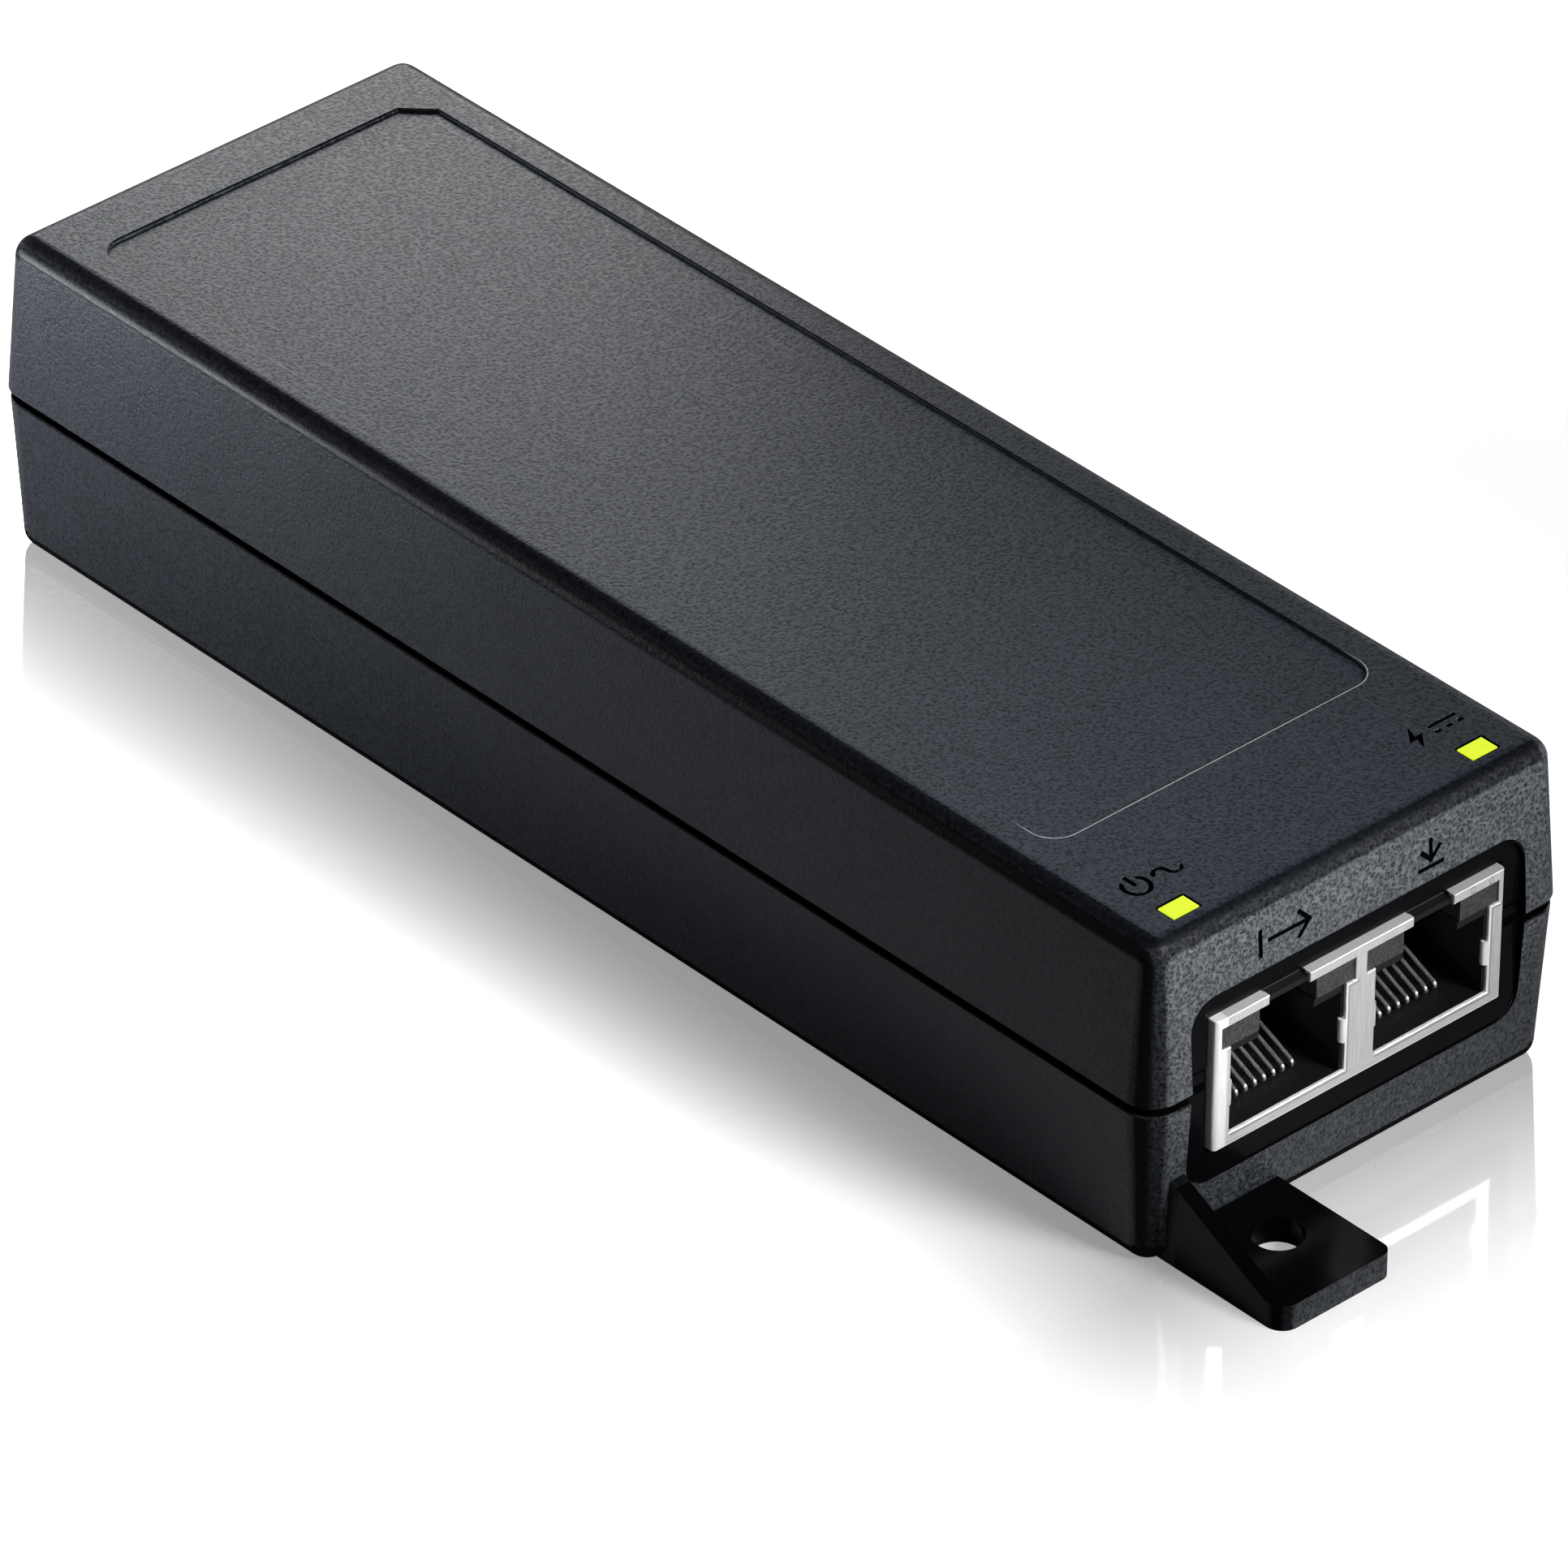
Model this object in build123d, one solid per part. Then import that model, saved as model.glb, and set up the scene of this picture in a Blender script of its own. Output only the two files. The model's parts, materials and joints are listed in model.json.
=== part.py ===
from build123d import *
import math
import os

# Power-over-Ethernet injector: a two-shell plastic case with screw ears, a twin data jack, a mains inlet
# and the mains power supply between them.
#
# Frame: millimetres, +Z up. The long axis is Y and the two data ports look towards -Y. The origin is at
# the centre of the footprint, on the surface that the case stands on.

# Case: two drafted shells that meet at a shadow gap half way up.
body_width = 45.6
body_length = 139.6
body_height = 30.4
parting_height = 15.2
seam_gap = 0.8
seam_depth = 0.75
wall = 2.0
upper_inset = 1.05
lower_inset = 0.9
lower_setback = 0.12
corner_radius = 2.7
top_radius = 1.9
bottom_radius = 1.5
lip_height = 1.6
lip_thickness = 0.75
lip_slack = 0.1
rim_chamfer = 0.14

# Sunk panel in the top face.
panel_half_width = 17.7
panel_front = -53.0
panel_rear = 62.2
panel_depth = 0.32
panel_rim_radius = 0.16
panel_radius = 2.4
panel_chamfer = 2.4

# Status lights: windows in the top face.
light_x = 16.2
light_y = -65.6
light_width = 2.65
light_length = 1.8
light_gap = 0.15
stem_width = 1.3

# Twin data jack.
jack_half_width = 15.75
jack_height = 12.4
jack_depth = 21.3
jack_front = -69.75
sheet = 0.3
sheet_edge_radius = 0.1
port_half_pitch = 7.85
opening_half_width = 6.25
lamp_opening_half_width = 7.25
opening_bottom = 1.15
lamp_opening_bottom = 9.4
opening_top = 11.5
latch_half_width = 2.2
latch_setback = 1.15
plug_half_width = 6.0
plug_bottom = 1.0
plug_top = 8.6
latch_cavity_half_width = 3.0
latch_cavity_depth = 8.7
plug_depth = 13.1
contact_pitch = 1.016
contact_count = 8
contact_width = 0.4
contact_thickness = 0.34
contact_slope = 25.0
contact_half_row = (contact_count - 1) / 2 * contact_pitch
contact_reach = 9.2
fold_radius = 0.3
fold_depth = 3.35
fold_height = 1.5
dimple_radius = 0.4
dimple_height = 4.9
dimple_length = 2.2
lamp_depth = 4.1
lead_rows = (15.6, 18.1)

# Smooth pocket in the leaning front wall around the jack, with an upright floor.
pocket_half_width = 18.15
pocket_bottom = 5.9
pocket_top = 23.5
pocket_floor = -69.0
pocket_top_radius = 3.0
pocket_bottom_radius = 2.2
jack_gap = 0.24

# Screw ears: one at the front left, its twin turned half round at the rear right.
ear_left = -19.9
ear_right = -7.8
ear_front = -82.0
ear_thickness = 2.4
ear_outer_radius = 1.7
ear_inner_radius = 1.1
ear_hole_radius = 2.2
ear_hole_x = -13.1
ear_hole_y = -74.5
gusset_thickness = 1.5
gusset_top = 8.0
gusset_foot = -80.4

# Mains inlet, three pins, set in the rear wall.
inlet_width = 27.0
inlet_height = 19.8
inlet_depth = 17.8
inlet_rear = 69.75
inlet_gap = 0.25
cavity_width = 24.2
cavity_height = 16.6
cavity_depth = 15.2
cavity_chamfer = 4.6
pin_spacing = 7.0
pin_rise = 2.0
pin_width = 2.0
pin_height = 4.0
pin_recess = 3.4
tail_width = 1.2
tail_y = 49.8

# Main board and what holds it.
board_top = 8.9
board_thickness = 1.6
board_half_width = 19.4
board_front = -66.6
board_rear = 51.4
boss_x = 16.6
boss_front_y = -43.5
boss_rear_y = 44.0
boss_radius = 2.8
rest_radius = 1.6
rest_places = [(-9, -60), (9, -60), (-12, 0), (12, 0), (0, 47)]
screw_radius = 1.3
screw_head_radius = 2.3
screw_head_height = 1.5
screw_tip = 17.0
counterbore_depth = 2.4
sheet_bottom = 2.5
insulation_thickness = 0.25
package_screw_height = 14.6
package_screw_radius = 1.15

# Underside label.
label_half_width = 15.5
label_half_length = 33.0
label_sink = 0.3
label_thickness = 0.15

# Engraved marks.
mark_depth = 0.3
mark_stroke = 0.42
top_mark_y = -61.4
top_mark_places = (-15.0, 15.3)
front_mark_height = 26.0
front_mark_x = 7.9

board_bottom = board_top - board_thickness
jack_bottom = board_top
jack_top = jack_bottom + jack_height
upper_rim = parting_height + seam_gap / 2
lower_rim = parting_height - seam_gap / 2
inner_top = body_height - wall
sheet_top = sheet_bottom + insulation_thickness


# ---------------------------------------------------------------- helpers

def block(x0, x1, y0, y1, z0, z1):
    """Box between two opposite corners."""
    return Pos((x0 + x1) / 2, (y0 + y1) / 2, (z0 + z1) / 2) * Box(x1 - x0, y1 - y0, z1 - z0)


def rod(radius, x, y, z0, z1):
    """Upright cylinder from z0 to z1."""
    return Pos(x, y, (z0 + z1) / 2) * Cylinder(radius, z1 - z0)


def drafted(width, length, radius, inset, z0, z1):
    """Rounded prism from z0 to z1, up or down, whose sides lean in by inset on the way."""
    height = abs(z1 - z0)
    lean = math.degrees(math.atan2(inset, height))
    solid = extrude(RectangleRounded(width, length, radius), amount=height, taper=lean)
    if z1 < z0:
        solid = Rot(180, 0, 0) * solid
    return Pos(0, 0, z0) * solid


def upright(profile, y0, y1):
    """Extrude a profile drawn in x and z along Y, from y0 to y1."""
    face = Plane(origin=(0, y1, 0), x_dir=(1, 0, 0), z_dir=(0, -1, 0)) * profile
    return extrude(face, amount=y1 - y0)


def bar(x0, y0, x1, y1):
    """One straight stroke of an engraved mark."""
    length = math.hypot(x1 - x0, y1 - y0) + mark_stroke
    turn = math.degrees(math.atan2(y1 - y0, x1 - x0))
    return Pos((x0 + x1) / 2, (y0 + y1) / 2) * Rot(0, 0, turn) * Rectangle(length, mark_stroke)


# ---------------------------------------------------------------- engraved marks

def power_mark():
    """Power sign, a broken ring with a bar, then a wave for mains supply."""
    radius = 1.35
    swing = 0.85
    ring = Circle(radius) - Circle(radius - mark_stroke) - Pos(0, 1.2) * Rectangle(1.3, 1.4)
    sign = ring + bar(0, 0.25, 0, radius)
    loop = Circle(swing) - Circle(swing - mark_stroke)
    crest = Pos(2.6, 0) * (loop - Pos(0, -0.6) * Rectangle(2, 1.2))
    trough = Pos(2.6 + 2 * swing - mark_stroke, 0) * (loop - Pos(0, 0.6) * Rectangle(2, 1.2))
    return Pos(-1.7, 0) * (sign + crest + trough)


def supply_mark():
    """Lightning bolt, then the line over dashes that stands for direct current."""
    bolt = make_face(Polyline((0.5, 1.5), (-0.9, -0.25), (-0.1, -0.25), (-0.5, -1.5), (0.9, 0.25),
                              (0.1, 0.25), (0.5, 1.5)))
    sign = bolt + bar(1.9, 0.45, 4.5, 0.45)
    for start in (1.9, 3.1, 4.3):
        sign += bar(start, -0.45, start + 0.2, -0.45)
    return Pos(-1.7, 0) * sign


def out_mark():
    """A post, and an arrow that leaves it."""
    post = bar(-2.7, -1.1, -2.7, 1.1)
    head = bar(1.5, 1.1, 2.6, 0) + bar(1.5, -1.1, 2.6, 0)
    return post + bar(-1.7, 0, 2.6, 0) + head


def in_mark():
    """An arrow that drops onto a line."""
    line = bar(-1.2, -1.2, 1.2, -1.2)
    head = bar(-0.95, 0.35, 0, -0.6) + bar(0.95, 0.35, 0, -0.6)
    return line + bar(0, 1.2, 0, -0.6) + head


# ---------------------------------------------------------------- case

def inner_space(rim, end, inset):
    """The hollow of one shell, from its rim to the inside of its top or floor."""
    inner_radius = 1.2
    return drafted(body_width - 2 * wall, body_length - 2 * wall, inner_radius, inset, rim, end)


def pocket_profile():
    """Outline of the pocket around the jack, larger corners at the top."""
    middle = (pocket_bottom + pocket_top) / 2
    face = Pos(0, middle) * Rectangle(2 * pocket_half_width, pocket_top - pocket_bottom)
    corners = face.vertices().sort_by(Axis.Y)
    face = fillet(corners[-2:], pocket_top_radius)
    corners = [v for v in face.vertices() if v.Y < pocket_bottom + 0.1]
    return fillet(corners, pocket_bottom_radius)


def wall_openings():
    """What is cut from both shells: pocket and hole for the jack, and the hole for the inlet."""
    outside = body_length / 2 + 2
    inside = body_length / 2 - 6
    pocket = upright(pocket_profile(), -outside, pocket_floor)
    jack_hole = block(-jack_half_width - jack_gap, jack_half_width + jack_gap, -outside, -inside,
                      jack_bottom - jack_gap, jack_top + jack_gap)
    half_width = inlet_width / 2 + inlet_gap
    half_height = inlet_height / 2 + inlet_gap
    inlet_hole = block(-half_width, half_width, inside, outside,
                       parting_height - half_height, parting_height + half_height)
    return pocket + jack_hole + inlet_hole


def panel_profile():
    """The sunk panel: three rounded corners, and one cut off at the rear right."""
    width = 2 * panel_half_width
    length = panel_rear - panel_front
    face = Pos(0, (panel_rear + panel_front) / 2) * Rectangle(width, length)
    cut = [v for v in face.vertices() if v.X > 0 and v.Y > 0]
    face = chamfer(cut, panel_chamfer)
    square = [v for v in face.vertices() if v.X < 0 or v.Y < panel_front + 1]
    return fillet(square, panel_radius)


def sink_panel(shell):
    """Cut the panel into the top face and round its rim."""
    shell -= extrude(Pos(0, 0, body_height - panel_depth) * panel_profile(), amount=2)
    level = shell.edges().filter_by_position(Axis.Z, body_height - 0.01, body_height + 0.01)
    middle = (panel_front + panel_rear) / 2
    reach = (panel_rear - panel_front) / 2 + 0.1
    rim = [edge for edge in level
           if abs(edge.center().X) < panel_half_width + 0.1 and abs(edge.center().Y - middle) < reach]
    return fillet(rim, panel_rim_radius)


def light_windows():
    """Holes in the top for the two light pipes."""
    half_x = light_width / 2 + light_gap
    half_y = light_length / 2 + light_gap
    return [block(x - half_x, x + half_x, light_y - half_y, light_y + half_y,
                  inner_top - 4, body_height + 1) for x in (-light_x, light_x)]


def boss_places():
    """Centres of the four screw bosses."""
    return [(x, y) for x in (-boss_x, boss_x) for y in (boss_front_y, boss_rear_y)]


def upper_case():
    """Top shell: drafted box open below, relieved inside its rim for the lower shell's lip."""
    root = inner_top + 0.2
    relief_width = body_width - 2 * seam_depth
    relief_length = body_length - 2 * seam_depth
    shell = drafted(body_width, body_length, corner_radius, upper_inset, upper_rim, body_height)
    shell = fillet(shell.faces().sort_by(Axis.Z)[-1].edges(), top_radius)
    shell = chamfer(shell.faces().sort_by(Axis.Z)[0].edges(), rim_chamfer)
    shell -= inner_space(upper_rim, inner_top, upper_inset)
    relief = extrude(RectangleRounded(relief_width, relief_length, 2.0),
                     amount=lip_height - seam_gap / 2 + 2 * lip_slack)
    shell -= Pos(0, 0, upper_rim - lip_slack) * relief
    for x, y in boss_places():
        shell += rod(boss_radius, x, y, board_top, root)
        side = math.copysign(body_width / 2 - wall, x)
        shell += block(min(x, side), max(x, side), y - 0.6, y + 0.6, parting_height + 3, root)
    for x in (-light_x, light_x):
        shell += block(x - 2.2, x + 2.2, light_y - 1.75, light_y + 1.75, inner_top - 2, root)
    shell = sink_panel(shell)
    shell -= light_windows()
    shell -= wall_openings()
    for x, y in boss_places():
        shell -= rod(screw_radius + 0.05, x, y, board_top - 1, screw_tip + 0.8)
    return engrave(shell)


def engrave(shell):
    """Sink the four marks: two beside the lights on top, two above the ports."""
    floor = body_height - mark_depth
    for x, mark in zip(top_mark_places, (power_mark(), supply_mark())):
        shell -= extrude(Pos(x, top_mark_y, floor) * mark, amount=2)
    lean = math.degrees(math.atan2(upper_inset, body_height - upper_rim))
    face_y = -body_length / 2 + (front_mark_height - upper_rim) * math.tan(math.radians(lean))
    for x, mark in ((-front_mark_x, out_mark()), (front_mark_x, in_mark())):
        leaning = Pos(x, face_y + mark_depth, front_mark_height) * Rot(90 - lean, 0, 0) * mark
        shell -= extrude(leaning, amount=2)
    return shell


def ear():
    """Front left screw ear: a flat plate with a triangular web along its outer edge."""
    root = -body_length / 2 + 3
    plate = Pos((ear_left + ear_right) / 2, (ear_front + root) / 2) * Rectangle(
        ear_right - ear_left, root - ear_front)
    plate = fillet(plate.vertices().sort_by(Axis.Y)[:2].sort_by(Axis.X)[0], ear_outer_radius)
    plate = fillet(plate.vertices().sort_by(Axis.X)[-2:].sort_by(Axis.Y)[0], ear_inner_radius)
    solid = extrude(plate, amount=ear_thickness)
    web = make_face(Polyline((root, 1), (root, gusset_top), (-body_length / 2 + 0.6, gusset_top),
                             (gusset_foot, ear_thickness - 0.2), (gusset_foot, 1), (root, 1)))
    web = Plane(origin=(ear_left, 0, 0), x_dir=(0, 1, 0), z_dir=(1, 0, 0)) * web
    solid += extrude(web, amount=gusset_thickness)
    return solid - rod(ear_hole_radius, ear_hole_x, ear_hole_y, -1, ear_thickness + 1)


def lower_lip():
    """Ring that stands up inside the upper shell's rim."""
    outer = seam_depth + lip_slack
    inner = outer + lip_thickness
    root = 0.6
    ring = RectangleRounded(body_width - 2 * outer, body_length - 2 * outer, 1.9)
    hole = RectangleRounded(body_width - 2 * inner, body_length - 2 * inner, 1.3)
    return Pos(0, 0, lower_rim - root) * extrude(ring - hole, amount=root + lip_height + seam_gap / 2 - 0.2)


def lower_case():
    """Bottom shell: drafted tray with the lip, the screw ears, the bosses and the board rests."""
    width = body_width - 2 * lower_setback
    length = body_length - 2 * lower_setback
    shell = drafted(width, length, corner_radius, lower_inset, lower_rim, 0)
    shell = fillet(shell.faces().sort_by(Axis.Z)[0].edges(), bottom_radius)
    shell = chamfer(shell.faces().sort_by(Axis.Z)[-1].edges(), rim_chamfer)
    shell -= inner_space(lower_rim, wall, lower_inset)
    shell += lower_lip()
    for x, y in boss_places():
        shell += rod(boss_radius, x, y, wall - 0.2, board_bottom)
    for x, y in rest_places:
        shell += rod(rest_radius, x, y, wall - 0.2, board_bottom)
    shell -= wall_openings()
    front_ear = ear()
    shell += front_ear
    shell += Rot(0, 0, 180) * front_ear
    for x, y in boss_places():
        shell -= rod(screw_head_radius + 0.3, x, y, -1, counterbore_depth)
        shell -= rod(screw_radius + 0.2, x, y, 0, board_bottom + 1)
    shell -= block(-label_half_width, label_half_width, -label_half_length, label_half_length,
                   -1, label_sink)
    return shell


def rating_label():
    """Bare label stuck in a shallow pocket of the underside."""
    margin = 0.3
    label = RectangleRounded(2 * (label_half_width - margin), 2 * (label_half_length - margin), 1.5)
    return Pos(0, 0, label_sink - label_thickness) * extrude(label, amount=label_thickness)


def case_screws():
    """Four pan-head screws, driven up through the lower shell into the upper shell's bosses."""
    seat = counterbore_depth
    face = seat - screw_head_height
    screw = rod(screw_head_radius, 0, 0, face, seat)
    screw = fillet(screw.faces().sort_by(Axis.Z)[0].edges(), 0.6)
    screw += rod(screw_radius, 0, 0, seat, screw_tip)
    for turn in (0, 90):
        screw -= Rot(0, 0, turn) * block(-1.2, 1.2, -0.25, 0.25, face - 1, face + 0.9)
    return [Pos(x, y, 0) * screw for x, y in boss_places()]


# ---------------------------------------------------------------- status lights

def light_pipe(side):
    """Clear pipe: a window head in the top shell on a narrow stem that passes beside the jack."""
    x = side * light_x
    half = light_width / 2
    front, rear = light_y - light_length / 2, light_y + light_length / 2
    outer = x + side * half
    inner = outer - side * stem_width
    head = block(x - half, x + half, front, rear, inner_top - 4.4, body_height - 0.03)
    stem = block(min(inner, outer), max(inner, outer), front, rear, board_top + 1.3, inner_top - 4)
    return head + stem


def status_led(side):
    """Surface-mounted lamp on the board under a light pipe."""
    x = side * (light_x + light_width / 2 - stem_width / 2)
    base = block(x - 1.0, x + 1.0, light_y - 0.65, light_y + 0.65, board_top, board_top + 0.5)
    dome = block(x - 0.6, x + 0.6, light_y - 0.55, light_y + 0.55, board_top + 0.5, board_top + 1.0)
    return base + dome


# ---------------------------------------------------------------- twin data jack

def port_block(centre, half_width, y0, y1, low, high):
    """Box centred on a port, with its heights counted from the jack's underside."""
    return block(centre - half_width, centre + half_width, y0, y1, jack_bottom + low, jack_bottom + high)


def dimple_places(centre):
    """x of the two pressed ridges that grip the plug's shield, one on each side of a port."""
    return [centre + side * (opening_half_width + 0.05) for side in (-1, 1)]


def contact_places(centre):
    """x of the eight contacts of one port."""
    return [centre - contact_half_row + index * contact_pitch for index in range(contact_count)]


def jack_shield():
    """Folded sheet-metal can: front with two keyed openings, top, sides and back, open below."""
    back = jack_front + jack_depth
    can = block(-jack_half_width, jack_half_width, jack_front, back, jack_bottom, jack_top)
    can = fillet(can.edges().filter_by(Axis.Z), 0.4)
    can -= block(-jack_half_width + sheet, jack_half_width - sheet, jack_front + sheet, back - sheet,
                 jack_bottom - 1, jack_top - sheet)
    front, behind = jack_front - 1, jack_front + 1
    for centre in (-port_half_pitch, port_half_pitch):
        can -= port_block(centre, opening_half_width, front, behind, opening_bottom, lamp_opening_bottom + 1)
        can -= port_block(centre, lamp_opening_half_width, front, behind, lamp_opening_bottom, opening_top)
        can -= port_block(centre, latch_half_width, front, jack_front + latch_setback, opening_top - 1,
                          jack_height + 1)
    can = fillet(can.faces().sort_by(Axis.Y)[0].edges(), sheet_edge_radius)
    for centre in (-port_half_pitch, port_half_pitch):
        for x in dimple_places(centre):
            can += Pos(x, jack_front + dimple_radius, jack_bottom + dimple_height) * Cylinder(
                dimple_radius, dimple_length)
    return can


def jack_housing():
    """Black insulator inside the shield: two plug cavities, latch slots, lamp seats and carrier bays."""
    slack = 0.05
    half = jack_half_width - sheet - slack
    front = jack_front + sheet + slack
    back = jack_front + jack_depth - sheet - slack
    mouth = jack_front - 1
    solid = block(-half, half, front, back, jack_bottom + 0.1, jack_top - sheet - slack)
    for centre in (-port_half_pitch, port_half_pitch):
        solid -= port_block(centre, plug_half_width, mouth, jack_front + plug_depth, plug_bottom, plug_top)
        solid -= port_block(centre, latch_cavity_half_width, mouth, jack_front + latch_cavity_depth,
                            plug_top - 0.5, opening_top - 0.1)
        solid -= port_block(centre, lamp_opening_half_width, mouth, jack_front + lamp_depth + 0.1,
                            lamp_opening_bottom - 0.1, opening_top + 0.02)
        solid -= port_block(centre, plug_half_width + 0.25, jack_front + plug_depth, back + 1,
                            -1, plug_top + 0.1)
        for x in dimple_places(centre):
            solid -= Pos(x, jack_front + dimple_radius, jack_bottom + dimple_height) * Cylinder(
                dimple_radius + 0.1, dimple_length + 0.3)
    return solid


def jack_lamps():
    """Four clear lamp blocks in the upper corners of the ports."""
    lamps = []
    for centre in (-port_half_pitch, port_half_pitch):
        for side in (-1, 1):
            near = centre + side * (latch_cavity_half_width + 0.1)
            far = centre + side * (lamp_opening_half_width - 0.1)
            lamps.append(block(min(near, far), max(near, far), jack_front + 0.2, jack_front + lamp_depth,
                               jack_bottom + lamp_opening_bottom, jack_bottom + opening_top - 0.1))
    return lamps


def contacts(centre):
    """Eight spring wires: a round fold at the front and an arm that slopes up to the back."""
    fold = Rot(0, 90, 0) * Cylinder(fold_radius, contact_width)
    arm = block(-contact_width / 2, contact_width / 2, 0, contact_reach,
                -contact_thickness / 2, contact_thickness / 2)
    wire = fold + Rot(contact_slope, 0, 0) * arm
    return [Pos(x, jack_front + fold_depth, jack_bottom + fold_height) * wire
            for x in contact_places(centre)]


def carrier(centre):
    """Plastic insert behind the plug cavity that holds the contact wires, with a groove for each."""
    start = jack_front + plug_depth + 0.1
    end = jack_front + jack_depth - sheet - 0.15
    solid = port_block(centre, plug_half_width + 0.15, start, end, 0.3, plug_top)
    for x in contact_places(centre):
        solid -= block(x - 0.3, x + 0.3, start - 1, start + 0.5, jack_bottom + 2.5, jack_bottom + 8)
    return solid


def leads(centre):
    """Eight solder tails under a carrier, in two staggered rows."""
    half = 0.2
    tails = []
    for index, x in enumerate(contact_places(centre)):
        y = jack_front + lead_rows[(index + 1) % 2]
        tails.append(block(x - half, x + half, y - half, y + half, board_top, board_top + 0.3))
    return tails


# ---------------------------------------------------------------- mains inlet

def inlet_profile(width, height, cut):
    """Inlet outline: a rectangle with its two upper corners cut off."""
    face = Pos(0, parting_height) * Rectangle(width, height)
    upper = face.vertices().sort_by(Axis.Y)[-2:]
    return chamfer(upper, cut)


def inlet_pin_places():
    """x and z of the live, neutral and earth pins: the middle one stands higher."""
    low = parting_height - pin_rise
    return {"live_pin": (-pin_spacing, low), "neutral_pin": (pin_spacing, low),
            "earth_pin": (0, parting_height + pin_rise)}


def inlet_housing():
    """Plastic socket: an open cavity towards the rear with a solid back that carries the pins."""
    body = Pos(0, parting_height) * Rectangle(inlet_width, inlet_height)
    solid = upright(body, inlet_rear - inlet_depth, inlet_rear)
    cavity = inlet_profile(cavity_width, cavity_height, cavity_chamfer)
    solid -= upright(cavity, inlet_rear - cavity_depth, inlet_rear + 1)
    front = inlet_rear - inlet_depth
    for x, z in inlet_pin_places().values():
        solid -= block(x - pin_width / 2, x + pin_width / 2, front - 1, inlet_rear - cavity_depth + 1,
                       z - pin_height / 2, z + pin_height / 2)
    return solid


def inlet_pin(x, z):
    """One flat pin with a rounded tip, and a tail that turns down to the board."""
    tip = inlet_rear - pin_recess
    back = inlet_rear - inlet_depth
    blade = block(x - pin_width / 2, x + pin_width / 2, back, tip, z - pin_height / 2, z + pin_height / 2)
    blade = fillet(blade.faces().sort_by(Axis.Y)[-1].edges(), 0.7)
    half = tail_width / 2
    reach = block(x - half, x + half, tail_y - half, back + 0.1, z - half, z + half)
    drop = block(x - half, x + half, tail_y - half, tail_y + half, board_top, z + half)
    return blade + reach + drop


# ---------------------------------------------------------------- board and supply parts

def main_board():
    """Glass-fibre board, drilled for the four case screws."""
    board = block(-board_half_width, board_half_width, board_front, board_rear, board_bottom, board_top)
    board = fillet(board.edges().filter_by(Axis.Z), 1.0)
    for x, y in boss_places():
        board -= rod(screw_radius + 0.3, x, y, board_bottom - 1, board_top + 1)
    return board


def insulation_sheet():
    """Thin sheet that keeps the board's solder side off the lower shell, cut round its posts."""
    film = block(-board_half_width + 0.6, board_half_width - 0.6, board_front + 1, board_rear - 1,
                 sheet_bottom, sheet_top)
    for x, y in boss_places():
        film -= rod(boss_radius + 0.3, x, y, 0, board_bottom)
    for x, y in rest_places:
        film -= rod(rest_radius + 0.3, x, y, 0, board_bottom)
    return film


def upright_can(radius, height, x, y):
    """Standing electrolytic capacitor: rolled groove near the foot and a scored vent in the lid."""
    top = board_top + height
    can = rod(radius, x, y, board_top, top)
    can = fillet(can.faces().sort_by(Axis.Z)[-1].edges(), 0.6)
    can -= rod(radius + 1, x, y, board_top + 2, board_top + 2.7) - rod(radius - 0.4, x, y, 0, top)
    score = block(-radius * 0.6, radius * 0.6, -0.15, 0.15, top - 0.25, top + 1)
    for turn in (45, 135):
        can -= Pos(x, y, 0) * Rot(0, 0, turn) * score
    return can


def bulk_capacitor():
    """Large mains capacitor lying along the board."""
    radius, length = 8.4, 25.0
    can = Cylinder(radius, length)
    can = fillet(can.faces().sort_by(Axis.Z)[-1].edges(), 1.0)
    can -= Pos(0, 0, -length / 2 + 3) * (Cylinder(radius + 1, 0.9) - Cylinder(radius - 0.5, 2))
    lying = Rot(-90, 0, 0) * can
    return Pos(-9.6, 11.0, board_top + 0.1 + radius) * lying


def transformer_parts():
    """Ferrite core with two windows, a flanged bobbin on its middle leg, and the winding on it."""
    stand = 1.2
    height, half_width, half_depth, leg = 17.0, 12.0, 4.0, 3.5
    window, low, high = 8.6, 3.0, 14.0
    core = block(-half_width, half_width, -half_depth, half_depth, 0, height)
    for near, far in ((-window, -leg), (leg, window)):
        core -= block(near, far, -half_depth - 1, half_depth + 1, low, high)
    flange_x, flange_y, flange = 8.4, 9.6, 1.0
    bottom, top = low + 0.1, high - 0.1
    bobbin = block(-4.4, 4.4, -4.9, 4.9, bottom, top)
    for start in (bottom, top - flange):
        bobbin += block(-flange_x, flange_x, -flange_y, flange_y, start, start + flange)
    bobbin -= block(-leg - 0.1, leg + 0.1, -half_depth - 0.1, half_depth + 0.1, 0, height)
    for near, far in ((-flange_y, -6.0), (6.0, flange_y)):
        bobbin += block(-flange_x, flange_x, near, far, -stand, bottom)
    winding = block(-8.1, 8.1, -8.8, 8.8, bottom + flange + 0.05, top - flange - 0.05)
    winding = fillet(winding.edges().filter_by(Axis.Z), 2.4)
    winding -= block(-4.45, 4.45, -4.95, 4.95, 0, height)
    place = Pos(-5.5, -14.0, board_top + stand)
    return {"transformer_core": place * core, "transformer_bobbin": place * bobbin,
            "transformer_winding": place * winding}


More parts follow.
